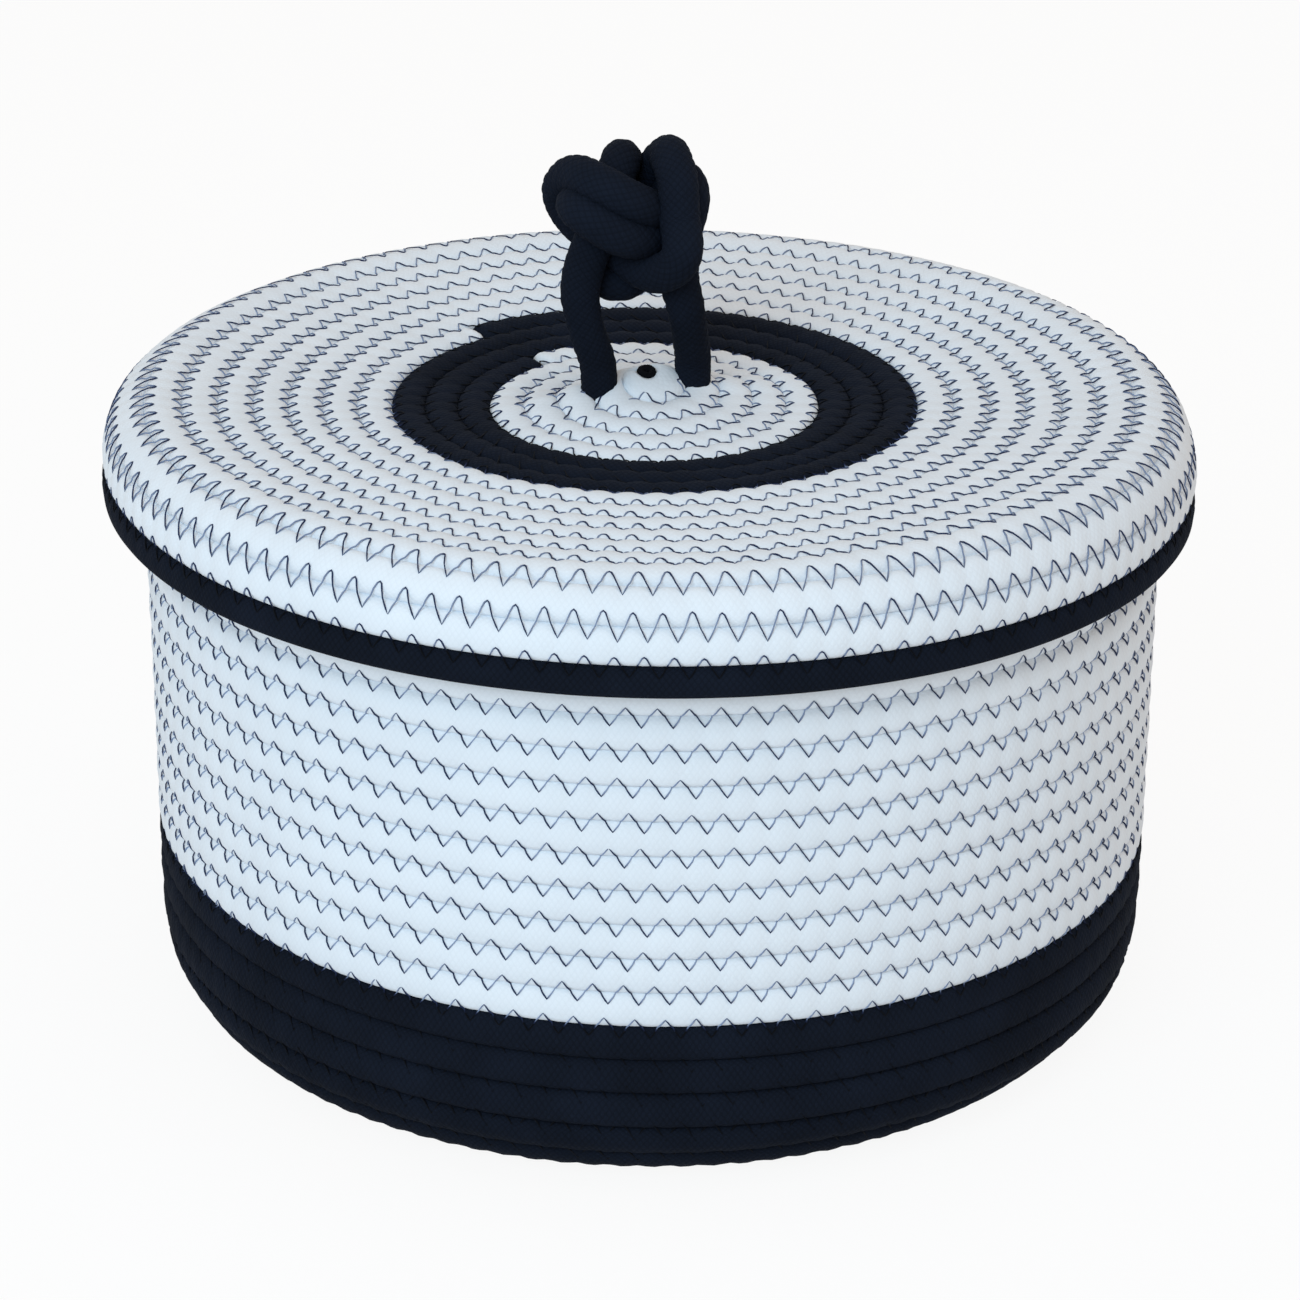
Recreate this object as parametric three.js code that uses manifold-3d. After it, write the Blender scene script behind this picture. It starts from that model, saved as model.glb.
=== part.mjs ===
import * as THREE from 'three';
import { mergeVertices } from 'three/addons/utils/BufferGeometryUtils.js';
import Module from 'manifold-3d';

// A lidded basket of sewn cotton rope, in millimetres, +Z up, its front towards -Y.
// Every wall is one rope laid round and round in a spiral, each turn sewn to the one before,
// so a wall is a ridged sheet whose ridges are a single spiral and never closed rings.
// The origin is on the floor under the middle of the base.

// Rope. A sewn turn takes up a little less than the rope's width.
const ropeDiameter = 10;
const ropeRadius = ropeDiameter / 2;
const crestHeight = 0.9 * ropeRadius;
const crestSpread = 0.22;
const grooveDepth = 0.55 * ropeRadius;
const basePitch = 9.92;
const wallPitch = 9.6;
const domePitch = 9.45;
const ringPitch = 9.0;
const rollPitch = 10.0;

// Fits between pieces.
const seamGap = 0.3;
const seatClearance = 0.3;
const ridgeSettle = 4.7;
const lidClearance = 1.5;
const holeClearance = 0.3;

// Basket, counted in turns of rope from the middle of the base to the open rim.
const eyeRadius = 1.2;
const eyeTurns = 0.6;
const baseTurns = 12.2;
const footTurns = 0.5;
const bandTurns = 4.2;
const upperWallTurns = 12.23;
const rimTaperTurns = 0.5;

// Lid, counted in turns from its middle: white centre, dark ring, white top, rolled side, dark rim.
const domeTurns = 4.4;
const ringTurns = 3;
const lidTopTurns = 7;
const lidSideTurns = 2;
const hangTurns = 0.35;
const lidRimTurns = 1.14;

// Handle: two legs come up through the lid and end in one button knot.
const handleRope = 8.7;
const footSpacing = 25;
const footAzimuth = 16;
const knotHeight = 41.6;
const knotAside = -5;
const knotSlack = 0.85;
const stopperDrop = 39;
const stopperScale = 4.4;
const tailLength = 8;

// How closely a knotted rope is followed, and how long it is worked until it lies tight.
const knotStep = 3;
const knotLays = 4;
const knotRounds = 300;
const sidesOfRope = 8;
const sidesOfTail = 6;

// How finely the turns are faceted, and where the two spirals start.
const stepsPerTurn = 26;
const stepAngle = 2 * Math.PI / stepsPerTurn;
const basketStart = -Math.PI / 2;
const lidLead = 16;
const lidStart = basketStart + lidLead * stepAngle;

const cottonWhite = new THREE.MeshStandardMaterial({ color: 0xe3e7ea, roughness: 0.9, metalness: 0 });
const cottonBlack = new THREE.MeshStandardMaterial({ color: 0x1a1c22, roughness: 0.85, metalness: 0 });

const radians = THREE.MathUtils.degToRad;

// Walks across the section of a wall, one sample a step. A stretch is a number of turns, the
// rope's pitch there, and the tilt that it starts and ends with: 0 lies flat, 90 stands upright.
function walkSection(start, rise, stretches) {
  const samples = [];
  let { radius, height } = start;
  const last = stretches[stretches.length - 1];
  const stretchList = [...stretches, { turns: 1, pitch: last.pitch, from: last.to, to: last.to }];
  for (const { turns, pitch, from, to } of stretchList) {
    const steps = Math.round(turns * stepsPerTurn);
    for (let step = 0; step < steps; step += 1) {
      const tilt = radians(from + (to - from) * (step + 0.5) / steps);
      samples.push({ radius, height, tilt });
      radius += Math.cos(tilt) * pitch / stepsPerTurn;
      height += rise * Math.sin(tilt) * pitch / stepsPerTurn;
    }
  }
  samples.push({ radius, height, tilt: radians(last.to) });
  return samples.map((sample) => ({ ...sample, rise }));
}

// A section point moved along the sheet and out of it.
function shifted(sample, along, out) {
  const { radius, height, tilt, rise } = sample;
  return {
    radius: radius + Math.cos(tilt) * along + Math.sin(tilt) * out,
    height: height + rise * (Math.sin(tilt) * along - Math.cos(tilt) * out),
  };
}

function between(a, b, share) {
  return {
    radius: a.radius + (b.radius - a.radius) * share,
    height: a.height + (b.height - a.height) * share,
  };
}

// The ridge of a turn: points over its middle, square to the line between its two seams.
function ridgePoint(inner, outer, share, out, rise) {
  const length = Math.hypot(outer.radius - inner.radius, outer.height - inner.height);
  const middle = between(inner, outer, share);
  return {
    radius: middle.radius + rise * (outer.height - inner.height) / length * out,
    height: middle.height - rise * (outer.radius - inner.radius) / length * out,
  };
}

// One length of rope as a closed ridged sheet, from one step of the spiral to another. Turns
// share their seam lines, so the sheet is one body. joined says which edges meet another rope.
function coil(samples, fromTurn, toTurn, options) {
  const { startAngle, sense, joined = {}, taperTurns = 0 } = options;
  const from = Math.round(fromTurn * stepsPerTurn);
  const to = Math.round(toTurn * stepsPerTurn);
  const taperFrom = to - Math.round(taperTurns * stepsPerTurn);
  const rise = samples[0].rise;
  const vertices = [];
  const faces = [];

  const addPoint = (point, step, sideways = 0) => {
    const angle = startAngle + sense * (step * stepAngle + sideways / Math.max(point.radius, ropeRadius));
    vertices.push(point.radius * Math.cos(angle), point.radius * Math.sin(angle), point.height);
    return vertices.length / 3 - 1;
  };
  const seamShift = (step) => {
    if (joined.inner && step <= from + stepsPerTurn) return seamGap / 2;
    if (joined.outer && step >= to) return -seamGap / 2;
    return 0;
  };
  const endShift = (step) => {
    if (joined.inner && step === from) return seamGap / 2;
    if (joined.outer && step === to) return -seamGap / 2;
    return 0;
  };
  const fullness = (step) => (step > taperFrom ? 1 - 0.65 * (step - taperFrom) / (to - taperFrom) : 1);

  const outerSeam = new Map();
  const innerSeam = new Map();
  for (let step = from; step <= to + stepsPerTurn; step += 1) {
    let sample = samples[step];
    const share = fullness(step - stepsPerTurn);
    if (share < 1) sample = { ...sample, ...between(samples[step - stepsPerTurn], sample, share) };
    const sideways = step <= to ? endShift(step) : endShift(step - stepsPerTurn);
    outerSeam.set(step, addPoint(shifted(sample, seamShift(step), ropeRadius - grooveDepth), step, sideways));
    innerSeam.set(step, addPoint(shifted(sample, seamShift(step), grooveDepth - ropeRadius), step, sideways));
  }
  const outerRidge = [];
  const innerRidge = [];
  for (let step = from; step <= to; step += 1) {
    const inner = samples[step];
    const outer = between(inner, samples[step + stepsPerTurn], fullness(step));
    const ridge = (share, out) => addPoint(ridgePoint(inner, outer, share, out, rise), step, endShift(step));
    outerRidge.push([ridge(0.5 - crestSpread, crestHeight), ridge(0.5 + crestSpread, crestHeight)]);
    innerRidge.push([ridge(0.5, -ropeRadius)]);
  }

  const quad = (a, b, c, d) => faces.push(a, b, c, a, c, d);
  for (let step = from; step < to; step += 1) {
    const across = (seam, ridge, at) => [seam.get(at), ...ridge[at - from], seam.get(at + stepsPerTurn)];
    const outerHere = across(outerSeam, outerRidge, step);
    const outerNext = across(outerSeam, outerRidge, step + 1);
    for (let i = 0; i + 1 < outerHere.length; i += 1) {
      quad(outerHere[i], outerNext[i], outerNext[i + 1], outerHere[i + 1]);
    }
    const innerHere = across(innerSeam, innerRidge, step);
    const innerNext = across(innerSeam, innerRidge, step + 1);
    for (let i = 0; i + 1 < innerHere.length; i += 1) {
      quad(innerHere[i + 1], innerNext[i + 1], innerNext[i], innerHere[i]);
    }
  }
  for (let step = from; step < from + stepsPerTurn; step += 1) {
    quad(innerSeam.get(step), innerSeam.get(step + 1), outerSeam.get(step + 1), outerSeam.get(step));
  }
  for (let step = to; step < to + stepsPerTurn; step += 1) {
    quad(outerSeam.get(step), outerSeam.get(step + 1), innerSeam.get(step + 1), innerSeam.get(step));
  }
  const endFace = (step, flip) => {
    const loop = [
      outerSeam.get(step), ...outerRidge[step - from], outerSeam.get(step + stepsPerTurn),
      innerSeam.get(step + stepsPerTurn), ...innerRidge[step - from], innerSeam.get(step),
    ];
    const ring = flip ? loop.reverse() : loop;
    for (let i = 1; i + 1 < ring.length; i += 1) faces.push(ring[0], ring[i], ring[i + 1]);
  };
  endFace(from, false);
  endFace(to, true);
  return closedGeometry(vertices, faces);
}

// Faces are turned to point outwards, which the sign of the volume tells.
function closedGeometry(vertices, faces) {
  const corner = (index) => new THREE.Vector3().fromArray(vertices, 3 * index);
  let volume = 0;
  for (let i = 0; i < faces.length; i += 3) {
    volume += corner(faces[i]).dot(corner(faces[i + 1]).cross(corner(faces[i + 2])));
  }
  if (volume < 0) {
    for (let i = 0; i < faces.length; i += 3) {
      [faces[i + 1], faces[i + 2]] = [faces[i + 2], faces[i + 1]];
    }
  }
  const geometry = new THREE.BufferGeometry();
  geometry.setAttribute('position', new THREE.Float32BufferAttribute(vertices, 3));
  geometry.setIndex(faces);
  return geometry;
}

// Guide points laid by hand become a tight knot. The line is smoothed and drawn in, while any
// two stretches of rope that come too near are pushed apart to one rope's width and some slack.
function tighten(guide, fixed) {
  let line = evenly(guide, knotStep);
  for (let lay = 0; lay < knotLays; lay += 1) {
    const laid = line.map((point) => point.clone());
    for (let round = 0; round < knotRounds; round += 1) {
      const left = 1 - round / knotRounds;
      drawIn(line, laid, fixed, 0.03 + 0.27 * left, 0.05 * left);
      pushApart(line, fixed);
      pushApart(line, fixed);
    }
    line = evenly(line, knotStep);
  }
  return line;
}

function drawIn(line, laid, fixed, pull, hold) {
  const before = line.map((point) => point.clone());
  for (let i = fixed; i < line.length - fixed; i += 1) {
    const middle = before[i - 1].clone().add(before[i + 1]).multiplyScalar(0.5);
    line[i].lerp(middle, pull).lerp(laid[i], hold);
  }
}

function pushApart(line, fixed) {
  const near = Math.ceil(1.5 * handleRope / knotStep);
  const push = line.map(() => new THREE.Vector3());
  const count = line.map(() => 0);
  for (let i = 0; i < line.length; i += 1) {
    for (let j = i + 2; j < line.length; j += 1) {
      const least = j - i >= near ? handleRope + knotSlack : bentChord((j - i) * knotStep);
      const distance = line[i].distanceTo(line[j]);
      if (distance < least) {
        const away = line[j].clone().sub(line[i]).multiplyScalar((least - distance) / distance / 2);
        push[j].add(away);
        push[i].sub(away);
        count[j] += 1;
        count[i] += 1;
      }
    }
  }
  for (let i = fixed; i < line.length - fixed; i += 1) {
    if (count[i] > 0) line[i].addScaledVector(push[i], 1.6 / count[i]);
  }
}

// The chord under a stretch of rope in its tightest bend.
function bentChord(length) {
  const bend = 0.65 * handleRope;
  return Math.min(2 * bend * Math.sin(Math.min(length / (2 * bend), Math.PI / 2)), handleRope);
}

// The same line with its points evenly spaced.
function evenly(points, step) {
  const along = [0];
  for (let i = 1; i < points.length; i += 1) along.push(along[i - 1] + points[i].distanceTo(points[i - 1]));
  const length = along[along.length - 1];
  const count = Math.round(length / step);
  const line = [];
  let piece = 1;
  for (let i = 0; i <= count; i += 1) {
    const target = length * i / count;
    while (piece < points.length - 1 && along[piece] < target) piece += 1;
    const share = (target - along[piece - 1]) / (along[piece] - along[piece - 1]);
    line.push(points[piece - 1].clone().lerp(points[piece], share));
  }
  return line;
}

// A round closed tube along a line, with flat or half-round ends.
function ropeTube(line, { sides = sidesOfRope, roundEnds = false }) {
  const vertices = [];
  const faces = [];
  const rings = [];
  const last = line.length - 1;
  const tangentAt = (i) => line[Math.min(i + 1, last)].clone().sub(line[Math.max(i - 1, 0)]).normalize();
  const side = new THREE.Vector3(1, 0, 0);
  const addRing = (centre, tangent, width) => {
    side.addScaledVector(tangent, -side.dot(tangent)).normalize();
    const up = tangent.clone().cross(side);
    const ring = [];
    for (let i = 0; i < sides; i += 1) {
      const angle = 2 * Math.PI * i / sides;
      const point = centre.clone().addScaledVector(side, width * Math.cos(angle));
      point.addScaledVector(up, width * Math.sin(angle));
      ring.push(vertices.length / 3);
      vertices.push(...point.toArray());
    }
    rings.push(ring);
  };
  const domeAngles = roundEnds ? [60, 30].map(radians) : [];
  const domeRing = (end, tangent, outwards, angle) => {
    const centre = end.clone().addScaledVector(tangent, outwards * handleRadius * Math.sin(angle));
    addRing(centre, tangent, handleRadius * Math.cos(angle));
  };
  for (const angle of domeAngles) domeRing(line[0], tangentAt(0), -1, angle);
  line.forEach((point, i) => addRing(point, tangentAt(i), handleRadius));
  for (const angle of [...domeAngles].reverse()) domeRing(line[last], tangentAt(last), 1, angle);
  for (let i = 0; i + 1 < rings.length; i += 1) {
    for (let k = 0; k < sides; k += 1) {
      const next = (k + 1) % sides;
      faces.push(rings[i][k], rings[i][next], rings[i + 1][next]);
      faces.push(rings[i][k], rings[i + 1][next], rings[i + 1][k]);
    }
  }
  const addCap = (end, tangent, outwards, ring) => {
    const tip = end.clone().addScaledVector(tangent, roundEnds ? outwards * handleRadius : 0);
    const apex = vertices.length / 3;
    vertices.push(...tip.toArray());
    for (let k = 0; k < sides; k += 1) {
      const next = (k + 1) % sides;
      faces.push(apex, outwards > 0 ? ring[k] : ring[next], outwards > 0 ? ring[next] : ring[k]);
    }
  };
  addCap(line[0], tangentAt(0), -1, rings[0]);
  addCap(line[last], tangentAt(last), 1, rings[rings.length - 1]);
  return closedGeometry(vertices, faces);
}

// The least gap between two stretches of one rope, measured on points of its line.
function leastGap(line) {
  const pointStep = knotStep / 3;
  const apart = Math.ceil(1.9 * handleRope / pointStep);
  const fine = evenly(line, pointStep);
  let least = Infinity;
  for (let i = 0; i < fine.length; i += 1) {
    for (let j = i + apart; j < fine.length; j += 1) {
      least = Math.min(least, fine[i].distanceTo(fine[j]) - handleRope);
    }
  }
  return least;
}

function report(name, line) {
  const length = (line.length - 1) * knotStep;
  console.log(name, 'rope', length.toFixed(0), 'mm, least gap to itself', leastGap(line).toFixed(2), 'mm');
}

// A round hole through a piece, cut where a rope passes.
async function pierce(geometry, radius, places) {
  const wasm = await Module();
  wasm.setup();
  const toSolid = (source) => {
    const bare = source.clone();
    bare.deleteAttribute('normal');
    bare.deleteAttribute('uv');
    const merged = mergeVertices(bare, 1e-4);
    return new wasm.Manifold(new wasm.Mesh({
      numProp: 3,
      vertProperties: new Float32Array(merged.attributes.position.array),
      triVerts: new Uint32Array(merged.index.array),
    }));
  };
  let solid = toSolid(geometry);
  for (const place of places) {
    const drill = new THREE.CylinderGeometry(radius, radius, 4 * ropeDiameter, 16);
    drill.rotateX(Math.PI / 2).translate(place.x, place.y, place.z);
    solid = solid.subtract(toSolid(drill));
  }
  const mesh = solid.getMesh();
  const pierced = new THREE.BufferGeometry();
  pierced.setAttribute('position', new THREE.Float32BufferAttribute(Array.from(mesh.vertProperties), 3));
  pierced.setIndex(Array.from(mesh.triVerts));
  return pierced;
}

// How high the lid's middle lies when its turns rest on the wall's top turn, rope on rope, less
// what the faceted ridges lack of a round rope. Both spirals are stepped alike, so the turns
// that meet at one azimuth are found by counting steps.
function restingHeight(wall, wallEnd, lid, lidEnd) {
  const apart = ropeDiameter + seatClearance;
  let highest = -Infinity;
  for (let step = wallEnd - stepsPerTurn; step <= wallEnd; step += 1) {
    const top = between(wall[step], wall[step + stepsPerTurn], 0.5);
    const first = (2 * stepsPerTurn - lidLead - step % stepsPerTurn) % stepsPerTurn;
    for (let turn = first; turn <= lidEnd; turn += stepsPerTurn) {
      const over = between(lid[turn], lid[turn + stepsPerTurn], 0.5);
      const beside = Math.abs(over.radius - top.radius);
      if (beside < apart) highest = Math.max(highest, top.height + Math.sqrt(apart ** 2 - beside ** 2) - over.height);
    }
  }
  return highest - ridgeSettle;
}

// Basket. One dark rope makes the base and the lower band, then a white rope makes the wall.
const bandStart = eyeTurns + baseTurns;
const darkTurns = bandStart + footTurns + bandTurns;
const basketSection = walkSection({ radius: eyeRadius, height: crestHeight }, 1, [
  { turns: eyeTurns, pitch: 0, from: 0, to: 0 },
  { turns: baseTurns, pitch: basePitch, from: 0, to: 0 },
  { turns: footTurns, pitch: wallPitch, from: 0, to: 55 },
  { turns: 1, pitch: wallPitch, from: 55, to: 55 },
  { turns: 1, pitch: wallPitch, from: 55, to: 82 },
  { turns: 1, pitch: wallPitch, from: 82, to: 90 },
  { turns: bandTurns - 3 + upperWallTurns, pitch: wallPitch, from: 90, to: 90 },
]);
const basketSpiral = { startAngle: basketStart, sense: -1 };
const stepAt = (turns) => Math.round(turns * stepsPerTurn);
const wallRadius = basketSection[stepAt(darkTurns + upperWallTurns)].radius;

// Lid. It rolls over the wall's top turn and hangs round it, so the bend's radius and the pitch
// of the flat turns follow the wall's radius.
const rollRadius = ropeDiameter + lidClearance;
const rollTurns = Math.PI / 2 * rollRadius / rollPitch;
const flatTurns = lidTopTurns + lidSideTurns - rollTurns - hangTurns;
const domeSlope = 12;
const dish = 3;
const ringOuter = eyeRadius + domeTurns * domePitch * Math.cos(radians(domeSlope - dish)) + ringTurns * ringPitch;
const flatPitch = (wallRadius - ringOuter) / flatTurns / Math.cos(radians(dish));
const ringEnd = eyeTurns + domeTurns + ringTurns;
const lidStretches = [
  { turns: eyeTurns, pitch: 0, from: domeSlope, to: domeSlope },
  { turns: domeTurns / 2, pitch: domePitch, from: domeSlope, to: domeSlope },
  { turns: domeTurns / 2, pitch: domePitch, from: domeSlope, to: 0 },
  { turns: ringTurns, pitch: ringPitch, from: 0, to: -dish },
  { turns: flatTurns, pitch: flatPitch, from: -dish, to: -dish },
  { turns: rollTurns, pitch: rollPitch, from: -dish, to: 90 },
  { turns: hangTurns, pitch: rollPitch, from: 90, to: 90 },
  { turns: lidRimTurns, pitch: wallPitch, from: 90, to: 90 },
];
const lidTurns = lidStretches.reduce((sum, { turns }) => sum + turns, 0);
const flatLid = walkSection({ radius: eyeRadius, height: 0 }, -1, lidStretches);
const lidTop = restingHeight(basketSection, stepAt(darkTurns + upperWallTurns), flatLid, stepAt(lidTurns));
const lidSection = walkSection({ radius: eyeRadius, height: lidTop }, -1, lidStretches);
const lidSpiral = { startAngle: lidStart, sense: 1 };
const domeEnd = eyeTurns + domeTurns;
const topEnd = ringEnd + lidTopTurns;
const sideEnd = topEnd + lidSideTurns;
const rimEnd = sideEnd + lidRimTurns;

// Handle feet, on either side of the lid's middle, where the rope comes up through the dome.
const footReach = footSpacing / 2;
const handleRadius = handleRope / 2;
const footDirection = new THREE.Vector3(Math.cos(radians(footAzimuth)), Math.sin(radians(footAzimuth)), 0);
const leftFoot = footDirection.clone().multiplyScalar(-footReach);
const rightFoot = footDirection.clone().multiplyScalar(footReach);
const domeAtFoot = lidSection.find(({ radius }) => radius >= footReach).height;
const mouthHeight = domeAtFoot + crestHeight;
const pivotHeight = mouthHeight + seatClearance + handleRadius;
const feet = [leftFoot, rightFoot].map((foot) => foot.clone().setZ(mouthHeight));

// The button knot, by guide points round its own middle: x to the right, y to the back, z up.
const knotMiddle = new THREE.Vector3(knotAside, 0, pivotHeight + knotHeight);
const leftLeg = [[-11, -8.5, -30], [-12, -6.5, -23], [-11.5, -3.5, -16], [-10, -2, -10]];
const upTheMiddle = [[-7.5, -1.5, -2.5], [-5, 0, 4], [-3, 1, 11]];
const leftTopLobe = [[-2, 4, 18], [-2, 9.5, 18.5], [-2, 15.5, 11]];
const downTheBack = [[-4, 15.5, 3.5], [-5.5, 13.5, -4], [-5.5, 7, -8.5], [-6, -0.5, -9]];
const bottomLobe = [[-5, -7.5, -10.5], [-3.5, -9, -13.5], [0, -6.5, -16], [3.5, -1.5, -15], [5, 4.5, -13]];
const upTheBack = [[5, 10, -9], [5, 13.5, -4], [6, 14.5, 3], [7, 13, 9.5]];
const rightTopLobe = [[8.5, 9, 15.5], [9, 2, 18], [8.5, -3.5, 15.5], [7, -5, 11.5]];
const rightSweep = [[5.5, -4, 7], [7, -7.5, 6.5], [10.5, -10, 5.5], [14, -10.5, 1.5]];
const underTheFront = [[14, -12, -3.5], [11, -13.5, -7.5], [6.5, -15, -9], [2.5, -12.5, -10]];
const behindToTheLeft = [[0.5, -3.5, -8], [-5, 6.5, -6], [-11, 9, -1.5], [-15.5, 6.5, 4.5]];
const leftCurl = [[-17, 2, 10], [-15, -2.5, 13], [-10.5, -6.5, 13.5]];
const upperDiagonal = [[-6, -10, 11], [-1, -12, 7.5], [3, -13, 3.5], [5, -9, -2]];
const backInside = [[4.5, -2, -3.5], [1, 4.5, -2.5], [-4, 7.5, 0.5], [-10, 6, 2], [-14.5, 2.5, 3.5]];
const lowerDiagonal = [[-15.5, -2.5, 3], [-13.5, -8, 2], [-10.5, -11.5, 0.5], [-6.5, -12.5, -1.5], [-2, -11.5, -5]];
const outToTheRight = [[1.5, -5, -6], [4.5, 1.5, -5.5], [9, 5, -4.5], [12, 7, -1], [13.5, 8.5, 5]];
const rightShoulder = [[14.5, 7, 9.5], [15.5, 1.5, 8], [15, 1, 3], [15, 0, -4]];
const rightLeg = [[15, -3.5, -11.5], [16, -6, -20], [17, -8.5, -29]];
const knotGuide = [
  ...leftLeg, ...upTheMiddle, ...leftTopLobe, ...downTheBack, ...bottomLobe, ...upTheBack,
  ...rightTopLobe, ...rightSweep, ...underTheFront, ...behindToTheLeft, ...leftCurl, ...upperDiagonal,
  ...backInside, ...lowerDiagonal, ...outToTheRight, ...rightShoulder, ...rightLeg,
].map((point) => new THREE.Vector3(...point).add(knotMiddle));
const leftPivot = leftFoot.clone().setZ(pivotHeight);
const rightPivot = rightFoot.clone().setZ(pivotHeight);
const handleLine = tighten([leftPivot, ...knotGuide, rightPivot], 3);
report('handle knot', handleLine);

// Under the lid each end of the handle's rope is stopped by an overhand knot, which is a trefoil
// opened at one lobe, with its body on the outer side.
function stopperLine(foot) {
  const outwards = foot.clone().setZ(0).normalize();
  const sideways = new THREE.Vector3(-outwards.y, outwards.x, 0);
  const place = (out, aside, down) => foot.clone().addScaledVector(outwards, out)
    .addScaledVector(sideways, aside).setZ(foot.z - down);
  const guide = [place(0, 0, 0), place(0, 0, stopperDrop - 4 * stopperScale)];
  const openLobe = 0.35;
  const guidePoints = 16;
  for (let i = 0; i <= guidePoints; i += 1) {
    const t = Math.PI + openLobe + (2 * Math.PI - 2 * openLobe) * i / guidePoints;
    const down = stopperDrop + stopperScale * (Math.sin(t) + 2 * Math.sin(2 * t));
    const out = stopperScale * (3 + Math.cos(t) - 2 * Math.cos(2 * t));
    guide.push(place(out, -stopperScale * Math.sin(3 * t), down));
  }
  guide.push(place(0, 0, stopperDrop + 4 * stopperScale), place(0, 0, stopperDrop + 4 * stopperScale + tailLength));
  return tighten(guide, 3);
}
const tailLines = feet.map(stopperLine);
report('stopper knot', tailLines[0]);

const basket = new THREE.Group();
basket.name = 'rope_basket';
const addPiece = (name, geometry, material) => {
  const mesh = new THREE.Mesh(geometry, material);
  mesh.name = name;
  basket.add(mesh);
};

addPiece('base_coil', coil(basketSection, 0, bandStart, { ...basketSpiral, joined: { outer: true } }), cottonBlack);
addPiece('lower_band', coil(basketSection, bandStart, darkTurns,
  { ...basketSpiral, joined: { inner: true, outer: true } }), cottonBlack);
addPiece('upper_wall', coil(basketSection, darkTurns, darkTurns + upperWallTurns,
  { ...basketSpiral, joined: { inner: true }, taperTurns: rimTaperTurns }), cottonWhite);
const dome = coil(lidSection, 0, domeEnd, { ...lidSpiral, joined: { outer: true } });
addPiece('lid_centre', await pierce(dome, handleRadius + holeClearance, feet), cottonWhite);
addPiece('lid_ring', coil(lidSection, domeEnd, ringEnd,
  { ...lidSpiral, joined: { inner: true, outer: true } }), cottonBlack);
addPiece('lid_top', coil(lidSection, ringEnd, topEnd,
  { ...lidSpiral, joined: { inner: true, outer: true } }), cottonWhite);
addPiece('lid_side', coil(lidSection, topEnd, sideEnd,
  { ...lidSpiral, joined: { inner: true, outer: true } }), cottonWhite);
addPiece('lid_rim', coil(lidSection, sideEnd, rimEnd,
  { ...lidSpiral, joined: { inner: true }, taperTurns: lidRimTurns - 1 }), cottonBlack);
addPiece('left_tail', ropeTube(tailLines[0], { sides: sidesOfTail }), cottonBlack);
addPiece('right_tail', ropeTube(tailLines[1], { sides: sidesOfTail }), cottonBlack);
addPiece('handle_knot', ropeTube(handleLine, { roundEnds: true }), cottonBlack);

export default basket;
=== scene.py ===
import math

import bpy
import numpy as np
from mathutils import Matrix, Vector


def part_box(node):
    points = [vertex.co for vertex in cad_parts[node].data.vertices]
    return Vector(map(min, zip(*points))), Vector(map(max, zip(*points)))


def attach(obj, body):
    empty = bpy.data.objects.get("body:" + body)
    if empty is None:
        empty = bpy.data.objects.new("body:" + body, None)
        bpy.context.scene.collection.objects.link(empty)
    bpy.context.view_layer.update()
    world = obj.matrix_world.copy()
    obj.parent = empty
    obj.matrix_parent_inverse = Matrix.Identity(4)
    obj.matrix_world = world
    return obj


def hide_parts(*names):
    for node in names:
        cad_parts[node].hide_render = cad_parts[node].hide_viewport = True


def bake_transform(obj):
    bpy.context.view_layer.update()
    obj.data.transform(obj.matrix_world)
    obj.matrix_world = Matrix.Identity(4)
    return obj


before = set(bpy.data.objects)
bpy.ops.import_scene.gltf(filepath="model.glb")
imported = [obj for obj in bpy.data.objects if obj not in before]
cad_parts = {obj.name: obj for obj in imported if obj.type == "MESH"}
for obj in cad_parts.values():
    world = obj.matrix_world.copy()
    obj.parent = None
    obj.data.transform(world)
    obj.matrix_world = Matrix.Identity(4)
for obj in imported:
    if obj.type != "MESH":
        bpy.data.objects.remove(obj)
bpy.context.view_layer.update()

# Basket, black rope. One length of braided cotton cord is wound flat from the middle for the
# base, turned up at the foot and wound on for the lower band. Each turn is sewn to the one
# before it, so every piece of the wall is a rope run between two seam lines of one spiral.
ROPE = 10.0
# Half the thickness of the sewn rope on the face that shows and on the other, and its spacing.
OUTER_HALF = 0.45 * ROPE
INNER_HALF = 0.48 * ROPE
WALL_PITCH = 9.6
# The CAD draws a turn in 26 steps, and the seams are worked out 8 times as finely.
CAD_STEPS = 26
FINE = 8
# The sizes are in millimetres, and this turns them to the scene's metres.
MM = 0.001


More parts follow.
